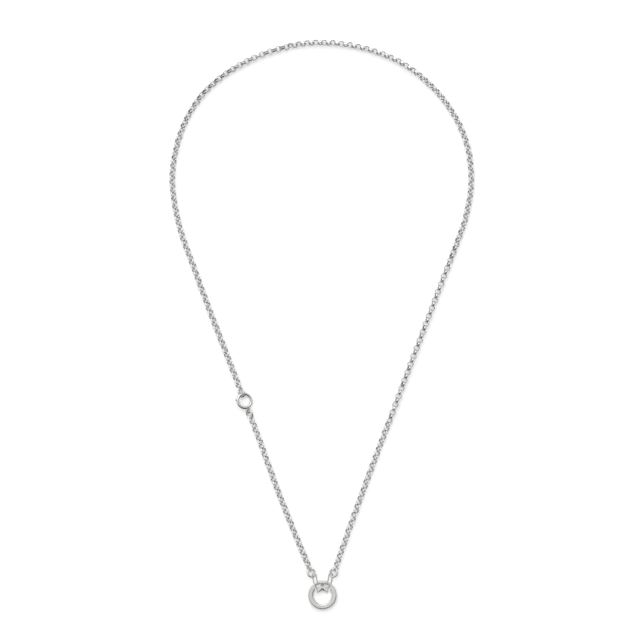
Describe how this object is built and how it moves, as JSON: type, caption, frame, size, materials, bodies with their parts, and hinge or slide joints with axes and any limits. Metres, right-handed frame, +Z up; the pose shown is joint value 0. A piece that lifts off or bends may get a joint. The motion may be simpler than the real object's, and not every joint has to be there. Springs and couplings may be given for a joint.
{
  "type": "rolo chain necklace with open ring and star pendant",
  "caption": "Fine round-link chain in a closed loop, laid out flat, with a flat open ring held by two jump rings and a small flat star hung in the ring's gap.",
  "frame": {"origin": "middle of the laid-out necklace's outline, on the surface that it rests on", "axes": "+Z up out of the surface, the front face of the pendant up; +Y from the pendant towards the back of the neck; +X to the wearer's left, which is the viewer's right"},
  "size_m": [0.1037, 0.1937, 0.0027],
  "materials": {
    "satin_silver": "satin silver with fine hairlines",
    "polished_silver": "polished silver",
    "chain_silver": "polished silver"
  },
  "bodies": {
    "root": {"carrier_ring": "satin_silver", "star": "satin_silver", "left_jump_ring": "polished_silver", "right_jump_ring": "polished_silver", "left_end_link": "chain_silver", "right_end_link": "chain_silver", "chain_short": "chain_silver", "chain_long": "chain_silver", "clasp": "polished_silver", "clasp_jump_ring": "polished_silver", "closing_ring": "polished_silver", "clasp_end_link": "chain_silver", "closing_end_link": "chain_silver"}
  },
  "joints": []
}
